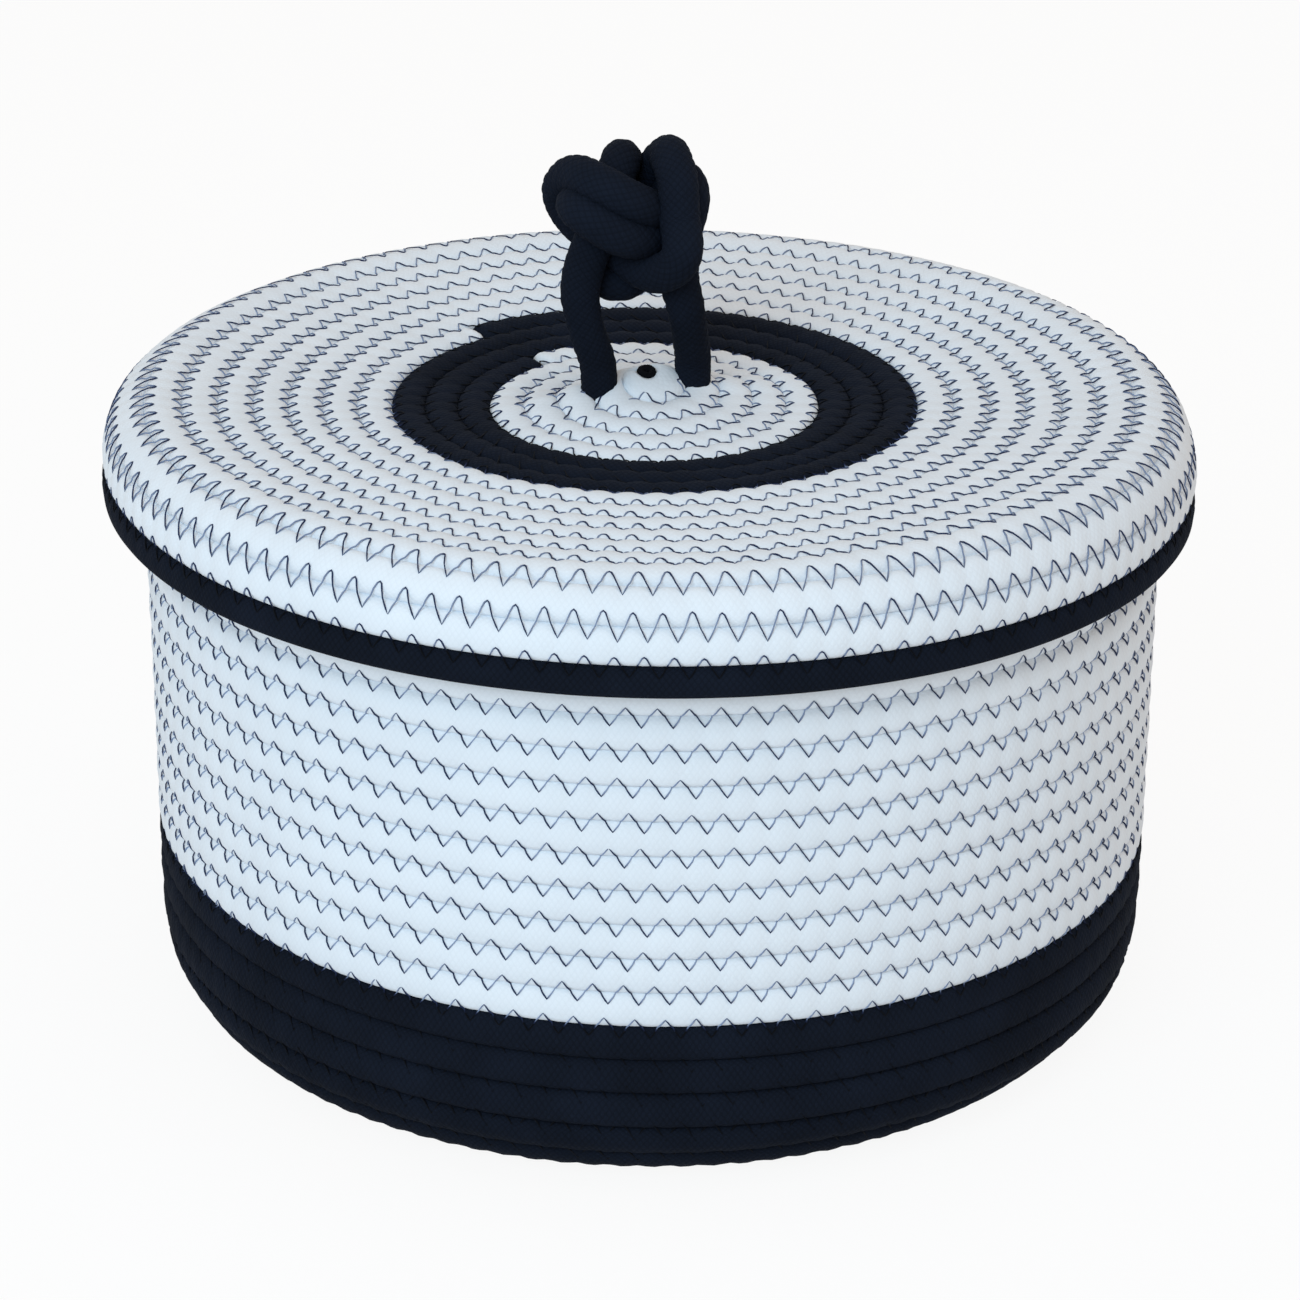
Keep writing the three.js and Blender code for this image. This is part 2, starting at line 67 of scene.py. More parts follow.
class SewnWall:
    """The seam lines of a wall of sewn turns, as radius and height against turns from its middle.

    A stretch is a number of turns, their spacing, and the wall's tilt at its start and its end.
    The rest is the rope's half thickness on its two faces, how square it is pressed, how the used
    wall has moved, the length of a zigzag, how far its two legs sink and how round it turns."""

    def __init__(self, radius, height, rise, start_angle, sense, stretches, halves, square, settle,
                 zigzag, dips, round_share):
        turns, radii, heights = [0.0], [radius], [height]
        # One turn more than there is rope gives the last seam an outer side.
        last = stretches[-1]
        for count, pitch, tilt_from, tilt_to in stretches + [(1, last[1], last[3], last[3])]:
            steps = round(count * CAD_STEPS) * FINE
            for step in range(steps):
                tilt = math.radians(tilt_from + (tilt_to - tilt_from) * (step + 0.5) / steps)
                turns.append(turns[-1] + 1 / CAD_STEPS / FINE)
                radii.append(radii[-1] + math.cos(tilt) * pitch / CAD_STEPS / FINE)
                heights.append(heights[-1] + rise * math.sin(tilt) * pitch / CAD_STEPS / FINE)
        self.turns, self.radii, self.heights = map(np.array, (turns, radii, heights))
        self.rise, self.start_angle, self.sense = rise, start_angle, sense
        self.halves, self.square, self.settle = halves, square, settle
        self.zigzag, self.dips, self.round_share = zigzag, dips, round_share
        middle = np.hypot(np.diff(self.radii), np.diff(self.heights))
        round_it = 2 * math.pi * (self.radii[1:] + self.radii[:-1]) / 2 * np.diff(self.turns)
        self.length = np.concatenate([[0], np.cumsum(np.hypot(middle, round_it))])
        self.last_turn = self.turns[-1] - 1

    def seam(self, turn):
        """Radius and height of the seam line at a number of turns."""
        return np.stack([np.interp(turn, self.turns, self.radii),
                         np.interp(turn, self.turns, self.heights)], -1)

    def angle(self, turn):
        return self.start_angle + self.sense * 2 * math.pi * turn

    def stitches(self, turn):
        """How many zigzags of the sewing machine lie before a point of the seam."""
        return np.interp(turn, self.turns, self.length) / self.zigzag

    def turn_of_stitch(self, count):
        return np.interp(count * self.zigzag, self.length, self.turns)

    def in_space(self, turn, section):
        """Section points, radius and height in millimetres, as points of the scene in metres."""
        angle = self.angle(turn)
        while angle.ndim < section.ndim - 1:
            angle = angle[..., None]
        return self.settle(np.stack([section[..., 0] * np.cos(angle), section[..., 0] * np.sin(angle),
                                     section[..., 1]], -1)) * MM


def lengths_of_rope(seam_from, seam_to, rise):
    """Middle, half width, direction along the wall and direction out of it, between two seams."""
    across = seam_to - seam_from
    width = np.hypot(across[..., 0], across[..., 1])[..., None]
    along = across / width
    out = rise * np.stack([along[..., 1], -along[..., 0]], -1)
    return (seam_from + seam_to) / 2, width / 2, along, out


# The zigzag seam: the length of one zigzag, how far it reaches to either side, how deep its two
# legs and its needle holes draw the rope in, and how wide that dent is.
WALL_ZIGZAG, LID_ZIGZAG = 7.65, 7.2
REACH = 2.65
PULL = 0.36
SECOND_LEG_SHARE = 0.75
NEEDLE_PULL = 0.5
PULL_WIDTH = 1.2
LEG_COSINE = math.cos(math.atan(4 * REACH / WALL_ZIGZAG))


def zigzag_at(count, wall):
    """Where the thread lies across the seam: to the inner rope below zero, to the outer above.

    Its corners are sharp on the lower rope and a little round on the upper, which is the inner
    one on the lid."""
    leg = wall.rise * (1 - 4 * np.abs(count % 1.0 - 0.5))
    capped = np.clip((leg - 1 + wall.round_share) / wall.round_share, 0, 1)
    leg = np.minimum(leg, 1 - wall.round_share) + wall.round_share * (capped - capped ** 2 / 2)
    return wall.rise * REACH * np.where(leg > 0, leg / (1 - wall.round_share / 2), leg)


def pulled_in(count, across, wall):
    """How far the thread draws the rope in at a place beside the seam."""
    leg = np.abs(across - zigzag_at(count, wall)) * LEG_COSINE
    part = count % 1.0
    tightness = np.where(part < 0.5, 1.0, SECOND_LEG_SHARE)
    inner = np.hypot((part - np.round(part)) * WALL_ZIGZAG, across + REACH)
    outer = np.hypot((part - 0.5) * WALL_ZIGZAG, across - REACH)
    needle = np.minimum(inner, outer)
    return (PULL * tightness * np.exp(-(leg / PULL_WIDTH) ** 2)
            + NEEDLE_PULL * np.exp(-(needle / PULL_WIDTH) ** 2))


# The rope is pressed square by its neighbours, and a little wider than the spacing of the turns.
PRESSED = 0.35
# Places round its section in degrees, closer together on the half that shows.
OUTER_SIDE = np.radians([0, 18, 38, 63, 90, 117, 142, 162, 180])
INNER_SIDE = np.radians([216, 252, 288, 324])
# Its thickness wavers by about one percent: the share, rate and start of each wave.
ROPE_WAVES = ((0.012, 1 / 23.0, 0), (0.01, 1 / 8.7, 1))
# A cut end is rounded over this length, up to this share of a full round.
CUT_REACH, CUT_SHARE = 2.5, 0.94
# A last turn that runs out thin loses this share of its width, and keeps this of its thickness.
RUN_OUT_SHARE, THIN_SHARE = 0.65, 0.45
# Dents fade from its crown to its sides, as this power of the sine round its section.
DENT_POWER = 0.5
# Turns from the middle to the place where the seam begins to draw the rope in.
FIRST_SEAM = 1.0


def rounded(value, square):
    """A sine or cosine drawn out towards a square."""
    return np.sign(value) * np.abs(value) ** square


def waver(place, waves):
    """A small unevenness along a line."""
    return sum(share * np.sin(rate * place + start) for share, rate, start in waves)


def cut_end(from_end, reach, share):
    """What is left of the rope's thickness near its cut ends."""
    return np.sqrt(1 - np.clip(1 - from_end / reach, 0, share) ** 2)[:, None]


def run_out(turn, turn_to, taper):
    """What is left of the rope's width where its last turn runs out thin."""
    if not taper:
        return np.ones_like(turn)
    return 1 - RUN_OUT_SHARE * np.clip((turn - turn_to + taper) / taper, 0, 1)


def thickness_left(full):
    """What is left of its thickness where this much of its width is left."""
    return THIN_SHARE + (1 - THIN_SHARE) * full


def in_rows(count, rows):
    """A long thin strip laid out in rows: the row of each point and its place in the row."""
    place = np.arange(count) * rows / count
    row = np.floor(place)
    return row, place - row, rows


# Bare margins of each row in the second map of a mesh, as shares of its height and its length.
ROW_GAP, END_GAP = 0.04, 0.01


def mesh_from_grid(name, rings, along_mm, around_mm, bake_rows, material):
    """A closed tube from rings of points, with two maps of its surface.

    The materials read the first, which is the rope's own length and girth in metres. The second lays the
    same surface out in rows."""
    count, sides = rings.shape[:2]
    index = np.arange(count * sides).reshape(count, sides)
    next_round = np.roll(index, -1, axis=1)
    quads = np.stack([index[:-1], next_round[:-1], next_round[1:], index[1:]], -1).reshape(-1, 4)
    points = rings.reshape(-1, 3)
    volume = np.einsum("ij,ij->i", points[quads[:, 0]],
                       np.cross(points[quads[:, 1]], points[quads[:, 2]])).sum()
    volume += np.einsum("ij,ij->i", points[quads[:, 0]],
                        np.cross(points[quads[:, 2]], points[quads[:, 3]])).sum()
    flip = volume < 0
    corners = quads[:, ::-1] if flip else quads
    caps = [index[0], index[-1][::-1]] if flip else [index[0][::-1], index[-1]]
    loops = np.concatenate([corners.reshape(-1)] + caps)
    starts = np.concatenate([np.arange(len(quads)) * 4, len(quads) * 4 + np.arange(2) * sides])
    mesh = bpy.data.meshes.new(name)
    mesh.vertices.add(len(points))
    mesh.vertices.foreach_set("co", points.astype(np.float32).reshape(-1))
    mesh.loops.add(len(loops))
    mesh.loops.foreach_set("vertex_index", loops.astype(np.int32))
    mesh.polygons.add(len(starts))
    mesh.polygons.foreach_set("loop_start", starts.astype(np.int32))
    mesh.update(calc_edges=True)
    mesh.polygons.foreach_set("use_smooth", np.ones(len(starts), bool))

    lengthwise = np.broadcast_to(along_mm[:, None], (count, sides + 1))
    around = np.broadcast_to(around_mm[None, :], (count, sides + 1))
    row, place, rows = bake_rows
    for layer, (u, v) in {
        "lay": (lengthwise * MM, around * MM),
        "OFBake": (np.broadcast_to(place[:, None], around.shape), around / around_mm[-1]),
    }.items():
        grid = np.stack([u, v], -1)
        cell = np.stack([grid[:-1, :-1], grid[:-1, 1:], grid[1:, 1:], grid[1:, :-1]], 2)
        if layer == "OFBake":
            cell = cell.copy()
            step = np.diff(place)
            cell[:, :, 2:, 0] = np.where(step < 0, place[:-1], place[1:])[:, None, None]
            cell[..., 1] = (row[:-1, None, None] + ROW_GAP + (1 - 2 * ROW_GAP) * cell[..., 1]) / rows
            cell[..., 0] = END_GAP + (1 - 2 * END_GAP) * cell[..., 0]
        cell = cell.reshape(-1, 4, 2)
        if flip:
            cell = cell[:, ::-1]
        flat = np.concatenate([cell.reshape(-1, 2), np.zeros((2 * sides, 2))])
        uv = mesh.uv_layers.new(name=layer)
        uv.data.foreach_set("uv", flat.astype(np.float32).reshape(-1))
    mesh.materials.append(material)
    piece = bpy.data.objects.new(name, mesh)
    bpy.context.collection.objects.link(piece)
    return piece


def rope_run(name, wall, turn_from, turn_to, material, step=1.3, taper=0.0):
    """One length of rope between two places of the spiral, pressed in where the thread holds it.

    The step is the spacing of the mesh's rings along it, and taper how many turns run out thin."""
    ends = np.interp([turn_from, turn_to], wall.turns - 0.5, wall.length)
    lengths = np.linspace(*ends, int((ends[1] - ends[0]) / step) + 1)
    turn = np.interp(lengths, wall.length, wall.turns - 0.5)
    turn[0], turn[-1] = turn_from, turn_to
    seam_in, seam_out = wall.seam(turn), wall.seam(turn + 1)
    full = run_out(turn, turn_to, taper)
    seam_out = seam_in + (seam_out - seam_in) * full[:, None]
    middle, half, along, out = lengths_of_rope(seam_in, seam_out, wall.rise)
    blunt = cut_end(np.minimum(lengths - ends[0], ends[1] - lengths), CUT_REACH, CUT_SHARE)

    phi = np.concatenate([OUTER_SIDE, INNER_SIDE])
    side = np.cos(phi)
    thick = np.where(np.sin(phi) >= 0, *wall.halves) * rounded(np.sin(phi), wall.square)
    unsteady = (1 + waver(lengths, ROPE_WAVES)) * thickness_left(full)
    across = (half + PRESSED) * rounded(side, wall.square)[None, :]
    lift = unsteady[:, None] * thick[None, :]
    face = rounded(np.sin(phi), DENT_POWER)
    for seam_turn, sign in ((turn + 1, 1), (turn, -1)):
        sewn = (seam_turn > FIRST_SEAM) & (seam_turn < wall.last_turn)
        beside = sign * (across - sign * half)
        pull = pulled_in(wall.stitches(seam_turn)[:, None], beside if sign > 0 else -beside, wall)
        lift = lift - pull * face[None, :] * sewn[:, None]
    section = (middle[:, None, :] + (across * blunt)[..., None] * along[:, None, :]
               + (lift * blunt)[..., None] * out[:, None, :])
    rings = wall.in_space(turn, section)
    flat = np.stack([ROPE / 2 * np.cos(phi), ROPE / 2 * np.sin(phi)], -1)
    edges = np.diff(np.vstack([flat, flat[:1]]), axis=0)
    girth = np.concatenate([[0], np.cumsum(np.hypot(*edges.T))])
    count = turn - turn_from
    rows = int(math.ceil(count[-1])) or 1
    row = np.minimum(np.floor(count), rows - 1)
    return mesh_from_grid(name, rings, lengths, girth, (row, count - row, rows), material)


def linear(colour):
    """An sRGB hex colour as the linear values that the shaders take."""
    parts = [int(colour[i:i + 2], 16) / 255 for i in (1, 3, 5)]
    return tuple(c / 12.92 if c <= 0.04045 else ((c + 0.055) / 1.055) ** 2.4 for c in parts) + (1,)


def add(tree, kind, settings=None, **inputs):
    """A node with its settings, its values and the links into it."""
    made = tree.nodes.new("ShaderNode" + kind)
    for name, value in (settings or {}).items():
        setattr(made, name, value)
    for name, value in inputs.items():
        place = int(name[1:]) if name[0] == "_" else name.replace("_", " ")
        if isinstance(value, bpy.types.NodeSocket):
            tree.links.new(value, made.inputs[place])
        else:
            made.inputs[place].default_value = value
    return made


# Strands of the braid: their spacing along the cord and how many go round it.
STRAND_PITCH, STRANDS = 1.7, 16
# Cells of noise in a metre: fluff of about 1.1 mm, and clouds of shade of about 22 mm.
FLUFF_CELLS, CLOUD_CELLS = 900.0, 45.0
# How high the fluff stands, as a share of the braid's own depth.
FLUFF_SHARE = 0.5


def cotton(name, colour, wear_and_shade_colour, rough, shine, sheen, braid_depth, wear_and_groove_shade):
    """Braided cotton cord: soft, matt and a little fuzzy, with fine strands that cross round it."""
    made = bpy.data.materials.new(name)
    made.use_nodes = True
    tree = made.node_tree
    tree.nodes.clear()
    lay = add(tree, "UVMap", {"uv_map": "lay"})
    parts = add(tree, "SeparateXYZ", Vector=lay.outputs[0])
    # The strands run round the cord both ways, with grooves between them.
    lengthwise = add(tree, "Math", {"operation": "MULTIPLY"}, _0=parts.outputs[0],
                     _1=math.pi / (STRAND_PITCH * MM))
    around = add(tree, "Math", {"operation": "MULTIPLY"}, _0=parts.outputs[1],
                 _1=STRANDS * math.pi / (math.pi * ROPE * MM))
    waves = []
    for way in ("ADD", "SUBTRACT"):
        slant = add(tree, "Math", {"operation": way}, _0=lengthwise.outputs[0], _1=around.outputs[0])
        wave = add(tree, "Math", {"operation": "SINE"}, _0=slant.outputs[0])
        waves.append(add(tree, "Math", {"operation": "ABSOLUTE"}, _0=wave.outputs[0]))
    braid = add(tree, "Math", {"operation": "MULTIPLY"}, _0=waves[0].outputs[0], _1=waves[1].outputs[0])
    place = add(tree, "TexCoord")
    fluff = add(tree, "TexNoise", {"noise_dimensions": "3D"}, Vector=place.outputs["Object"],
                Scale=FLUFF_CELLS, Detail=3.0, Roughness=0.6)
    cloud = add(tree, "TexNoise", {"noise_dimensions": "3D"}, Vector=place.outputs["Object"],
                Scale=CLOUD_CELLS, Detail=2.0, Roughness=0.5)
    height = add(tree, "Math", {"operation": "MULTIPLY_ADD"}, _0=fluff.outputs[0], _1=FLUFF_SHARE,
                 _2=braid.outputs[0])
    bump = add(tree, "Bump", Strength=1.0, Distance=braid_depth * MM, Height=height.outputs[0])
    # Darker cotton lies in clouds, where it is handled and worn, and painted shade darkens the grooves
    # between the strands.
    worn = add(tree, "MapRange", Value=cloud.outputs[0], From_Min=0.35, From_Max=0.65,
               To_Min=0.0, To_Max=wear_and_groove_shade)
    # Painted shade: the grooves of the braid are coloured darker, up to the full share at their bottoms.
    painted_groove_shade = add(tree, "MapRange", Value=braid.outputs[0], From_Min=0.0, From_Max=0.45,
               To_Min=wear_and_groove_shade, To_Max=0.0)
    share = add(tree, "Math", {"operation": "ADD", "use_clamp": True}, _0=worn.outputs[0],
                _1=painted_groove_shade.outputs[0])
    mix = add(tree, "Mix", {"data_type": "RGBA"}, _0=share.outputs[0], _6=linear(colour),
              _7=linear(wear_and_shade_colour))
    shader = add(tree, "BsdfPrincipled", Base_Color=mix.outputs[2], Roughness=rough,
                 Normal=bump.outputs[0])
    shader.inputs["Specular IOR Level"].default_value = shine
    shader.inputs["Sheen Weight"].default_value = sheen
    shader.inputs["Sheen Roughness"].default_value = 0.5
    out = add(tree, "OutputMaterial")
    tree.links.new(shader.outputs[0], out.inputs[0])
    return made


# Dyed cotton, black with a blue cast: it takes in most of the light, so that its braid shows
# only faintly and its turns are told apart by the light on their crowns.
black_cotton = cotton("black_braided_cotton", "#161c28", "#0e121a", rough=0.95, shine=0.06,
                      sheen=0.0, braid_depth=0.12, wear_and_groove_shade=0.5)
# Bleached cotton: a cool matt white, with soft shade between the strands that is partly painted into its
# colour.
white_cotton = cotton("white_braided_cotton", "#e8eef4", "#ccd3da", rough=0.9, shine=0.2,
                      sheen=0.05, braid_depth=0.05, wear_and_groove_shade=0.12)

# The spiral starts with a short turn that stays in place round the eye. Then come the turns of
# the base, of the foot, where the wall leaves the flat, of the black band and of the white wall.
EYE_RADIUS, EYE_TURNS = 1.2, 0.6
BASE_PITCH = 9.92
BASE_TURNS, FOOT_TURNS, BAND_TURNS, UPPER_TURNS = 12.2, 0.5, 4.2, 12.23
BAND_START = EYE_TURNS + BASE_TURNS
BAND_END = BAND_START + FOOT_TURNS + BAND_TURNS
WALL_END = BAND_END + round(UPPER_TURNS * CAD_STEPS) / CAD_STEPS
# How far the wall bellies out, at which heights, and from which radius of the base on.
BELLY = 2
BELLY_HEIGHTS, BELLY_SHARES = [0, 8, 14, 22, 30], [0.7, 1, 1, 0.4, 0]
BELLY_RADII = [90, 120]
# How much higher each place of the wall has come to lie.
STRETCHED_HEIGHTS, STRETCHED_BY = [10, 48, 135, 158, 166], [0, 0.9, 1.8, 0.6, 0]


def basket_settles(points):
    """The sewn wall has stretched a little in height, and it bellies out above its foot."""
    x, y, z = points[..., 0], points[..., 1], points[..., 2]
    radius = np.hypot(x, y)
    belly = np.interp(radius, BELLY_RADII, [0, BELLY]) * np.interp(z, BELLY_HEIGHTS, BELLY_SHARES)
    wider = 1 + belly / np.maximum(radius, 1)
    higher = np.interp(z, STRETCHED_HEIGHTS, STRETCHED_BY)
    return np.stack([x * wider, y * wider, z + higher], -1)


# Turns, their spacing, and the wall's tilt in degrees where each stretch starts and ends.
BASKET_STRETCHES = [
    (EYE_TURNS, 0, 0, 0),
    (BASE_TURNS, BASE_PITCH, 0, 0),
    (FOOT_TURNS, WALL_PITCH, 0, 55),
    (1, WALL_PITCH, 55, 55),
    (1, WALL_PITCH, 55, 82),
    (1, WALL_PITCH, 82, 90),
    (BAND_TURNS - 3 + UPPER_TURNS, WALL_PITCH, 90, 90),
]
basket_wall = SewnWall(EYE_RADIUS, OUTER_HALF, rise=1, start_angle=-math.pi / 2, sense=-1,
                       stretches=BASKET_STRETCHES, halves=(OUTER_HALF, INNER_HALF), square=0.58,
                       settle=basket_settles, zigzag=WALL_ZIGZAG, dips=(1.3, 1.9), round_share=0.15)
black_rope = rope_run("black_base_and_band_rope", basket_wall, 0, BAND_END, black_cotton, step=2.2)
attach(black_rope, "basket")
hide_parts("base_coil", "lower_band")

# Basket, white rope. It starts where the black one ends, at the back, and makes the wall up to
# the open rim, where its last half turn is pressed thin so that the rim ends level.
RIM_TAPER = 0.5
white_rope = rope_run("white_wall_rope", basket_wall, BAND_END, WALL_END, white_cotton, step=1.42,
                      taper=RIM_TAPER)
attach(white_rope, "basket")
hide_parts("upper_wall")

# Sewing thread of the basket. Dark polyester thread runs in one unbroken zigzag over every seam,
# with a needle hole at each corner, and the same zigzag shows inside.
THREAD = 0.43
# How far its middle stands off the rope on either leg, as a share of its thickness.
PROUD_SHARE, SUNK_SHARE = 0.75, 0.5
# Its stitches are uneven by up to nine percent: the share, rate and start of each wave.
STITCH_WAVES = ((0.05, 2.3, 0), (0.04, 5.1, 2))
# At its inner corners it is made thicker, so that the dark thread also stands for the shade in the
# needle holes: how far and how much.
HOLE_SHADE_REACH, HOLE_SHADE_SWELL = 0.7, 0.35
# How much deeper one leg has to sink for a full veil of fluff, and the veil's share at its ends.
VEILED_DIP, VEIL_AT_ENDS = 0.6, 0.3
# Each row of its second map has this many points for every row that there is.
POINTS_TO_ROWS = 8
THREAD_SIDES = 4


def rope_height(beside, half, thickness, square):
    """How high the rope stands beside its seam, of the same rounded shape as its section."""
    share = np.clip(np.abs(half - np.abs(beside)) / (half + PRESSED), 0, 1)
    return thickness * np.clip(1 - share ** (2 / square), 0, 1) ** (square / 2)


def thread_run(name, wall, turn_from, turn_to, material, face, per_leg, black, taper=0.0):
    """Zigzag thread on one face of the wall, over a stretch of seam.

    Each leg of it is drawn by so many points, and black lists the turns that are black rope."""
    first = math.ceil(wall.stitches(turn_from) * 2)
    last = math.floor(wall.stitches(turn_to) * 2)
    count = np.arange(first * per_leg, last * per_leg + 1) / per_leg / 2
    corner = np.round(count * 2)
    across = zigzag_at(count, wall) * (1 + waver(corner, STITCH_WAVES))
    turn = wall.turn_of_stitch(count)
    full = np.where(across > 0, run_out(turn, turn_to, taper), 1)
    across = across * full
    thickness = wall.halves[0 if face > 0 else 1] * thickness_left(full)
    seam = wall.seam(turn)
    sides_of_seam = []
    for inner, outer in ((wall.seam(turn - 1), seam), (seam, wall.seam(turn + 1))):
        middle, half, along, out = lengths_of_rope(inner, outer, wall.rise)
        sides_of_seam.append((half[:, 0], along, out))
    on_outer = (across > 0)[:, None]
    half = np.where(across > 0, sides_of_seam[1][0], sides_of_seam[0][0]) * full
    along = np.where(on_outer, sides_of_seam[1][1], sides_of_seam[0][1])
    share = ((across + REACH) / 2 / REACH).clip(0, 1)[:, None]
    out = sides_of_seam[0][2] * (1 - share) + sides_of_seam[1][2] * share
    out = out / np.linalg.norm(out, axis=1)[:, None]
    surface = rope_height(across, half, thickness, wall.square)
    top = rope_height(REACH * full, half, thickness, wall.square)
    crisp = (count % 1.0) < 0.5
    height = np.maximum(surface, top - np.where(crisp, *wall.dips))
    height = height - pulled_in(count, zigzag_at(count, wall), wall)
    height = height + THREAD * np.where(crisp, PROUD_SHARE, SUNK_SHARE)
    section = seam + across[:, None] * along + (face * height)[:, None] * out
    line = wall.in_space(turn, section)
    angle = wall.angle(turn)
    normal = face * np.stack([out[:, 0] * np.cos(angle), out[:, 0] * np.sin(angle), out[:, 1]], -1)
    tangent = np.gradient(line, axis=0)
    tangent /= np.linalg.norm(tangent, axis=1)[:, None]
    side = np.cross(tangent, normal)
    side /= np.linalg.norm(side, axis=1)[:, None]
    up = np.cross(side, tangent)
    # Painted shade: the thread swells near each inner corner, so that its dark fills the shade of the
    # needle hole.
    hole_shade = np.exp(-((count - np.round(count)) * wall.zigzag / HOLE_SHADE_REACH) ** 2)
    radius = (0.5 * THREAD * MM * (1 + HOLE_SHADE_SWELL * hole_shade))[:, None]
    turn_round = 2 * math.pi * (np.arange(THREAD_SIDES) + 0.5) / THREAD_SIDES
    rings = line[:, None, :] + (np.cos(turn_round)[None, :, None] * (radius * side)[:, None, :]
                                + np.sin(turn_round)[None, :, None] * (radius * up)[:, None, :])
    deeper = (wall.dips[1] - wall.dips[0]) / VEILED_DIP
    veil = VEIL_AT_ENDS + (1 - VEIL_AT_ENDS) * np.abs(np.sin(2 * math.pi * count))
    sunk = np.where(crisp, 0.0, deeper * veil)
    rope_turn = turn - (across < 0)
    for start, end in black:
        sunk = np.where((rope_turn > start) & (rope_turn < end), -1.0, sunk)
    rows = max(int(math.sqrt(len(count) / POINTS_TO_ROWS)), 1)
    girth = np.linspace(0, 1, THREAD_SIDES + 1)
    return mesh_from_grid(name, rings, sunk, girth, in_rows(len(count), rows), material)


BLACK_THREAD = "#090b10"


def sewing_thread(name, colour, veil):
    """Polyester thread, too fine to shine here: it reads as a thin dark line that greys under the
    cotton's fluff where it sinks in, and that is black where it crosses black rope."""
    made = bpy.data.materials.new(name)
    made.use_nodes = True
    tree = made.node_tree
    tree.nodes.clear()
    lay = add(tree, "UVMap", {"uv_map": "lay"})
    parts = add(tree, "SeparateXYZ", Vector=lay.outputs[0])
    # The map's first value is 0 on clear thread, up to 1 where it is veiled, and -1 on black rope.
    sunk = add(tree, "Math", {"operation": "MULTIPLY", "use_clamp": True}, _0=parts.outputs[0],
               _1=1 / MM)
    dark = add(tree, "Math", {"operation": "MULTIPLY", "use_clamp": True}, _0=parts.outputs[0],
               _1=-1 / MM)
    mix = add(tree, "Mix", {"data_type": "RGBA"}, _0=sunk.outputs[0], _6=linear(colour),
              _7=linear(veil))
    mix = add(tree, "Mix", {"data_type": "RGBA"}, _0=dark.outputs[0], _6=mix.outputs[2],
              _7=linear(BLACK_THREAD))
    shader = add(tree, "BsdfPrincipled", Base_Color=mix.outputs[2], Roughness=0.9)
    shader.inputs["Specular IOR Level"].default_value = 0.1
    out = add(tree, "OutputMaterial")
    tree.links.new(shader.outputs[0], out.inputs[0])
    return made


navy_thread = sewing_thread("navy_sewing_thread", "#2a3452", "#95a4c0")
black_thread = sewing_thread("black_sewing_thread", BLACK_THREAD, BLACK_THREAD)
# Turns from the middle to the first stitch.
SEAM_START = 1.3
for name, start, end, material, per_leg in (
    ("base_thread", SEAM_START, BAND_END, black_thread, 2),
    ("wall_thread", BAND_END, WALL_END, navy_thread, 6),
):
    for place, face in (("outside", 1), ("inside", -1)):
        thread = thread_run(f"{name}_{place}", basket_wall, start, end, material, face, per_leg,
                            black=[(0, BAND_END)], taper=RIM_TAPER if end == WALL_END else 0)
        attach(thread, "basket")

# Lid. It is sewn in the same way from its middle: a low white dome, a black ring, a white top
# that rolls over the basket's rim and hangs round it, and one black turn at the lower edge.
DOME_TURNS, RING_TURNS, TOP_TURNS, SIDE_TURNS, RIM_TURNS = 4.4, 3, 7, 2, 1.14
# Their spacing, and how many of the side's turns hang straight down below the roll.
DOME_PITCH, RING_PITCH, ROLL_PITCH, RIM_PITCH = 9.45, 9.0, 10.0, 8.4
HANG_TURNS = 0.35
# Slope of the dome and fall of the flat top towards its edge, in degrees.
DOME_SLOPE, DISH = 12, 3
# Steps of the CAD by which the spiral starts past the back, and room between lid and wall.
LID_LEAD = 3
LID_CLEARANCE = 1.5
roll_radius = ROPE + LID_CLEARANCE
roll_turns = math.pi / 2 * roll_radius / ROLL_PITCH
flat_turns = TOP_TURNS + SIDE_TURNS - roll_turns - HANG_TURNS
ring_outer = (EYE_RADIUS + DOME_TURNS * DOME_PITCH * math.cos(math.radians(DOME_SLOPE - DISH))
              + RING_TURNS * RING_PITCH)
wall_radius = basket_wall.seam(np.array([WALL_END]))[0, 0]
flat_pitch = (wall_radius - ring_outer) / flat_turns / math.cos(math.radians(DISH))
lid_top_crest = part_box("lid_centre")[1][2] / MM
LID_STRETCHES = [
    (EYE_TURNS, 0, DOME_SLOPE, DOME_SLOPE),
    (DOME_TURNS / 2, DOME_PITCH, DOME_SLOPE, DOME_SLOPE),
    (DOME_TURNS / 2, DOME_PITCH, DOME_SLOPE, 0),
    (RING_TURNS, RING_PITCH, 0, -DISH),
    (flat_turns, flat_pitch, -DISH, -DISH),
    (roll_turns, ROLL_PITCH, -DISH, 90),
    (HANG_TURNS, ROLL_PITCH, 90, 90),
    (RIM_TURNS, RIM_PITCH, 90, 90),
]
LID_START = math.pi / 2 + LID_LEAD * 2 * math.pi / CAD_STEPS
# Where the handle's two feet stand: their distance from the middle and their direction.
FOOT_REACH, FOOT_AZIMUTH = 12.5, math.radians(16)
# How far the used lid has risen or sunk, against the distance from its middle.
SUNK_RADII = [0, 8, 20, 45, 72, 100, 125, 136, 147]
SUNK_BY = [0.8, 0.5, -0.3, -2.2, -2.2, -2.3, -1.8, -0.6, -0.5]
# The dome has also sunk beside the line of the feet, where the handle holds it up: how deep, how
# far out, and the middle and half width of the hump that is left.
DOME_SUNK, DOME_REACH = 4.5, 30
HUMP_BACK, HUMP_WIDTH = 2, 8
# The eye is tilted to the front and drawn open: the slope, the opening, and how far each reaches.
EYE_TILT, EYE_TILT_REACH = 0.24, 7
EYE_OPENING, EYE_OPENING_REACH = 0.8, 5
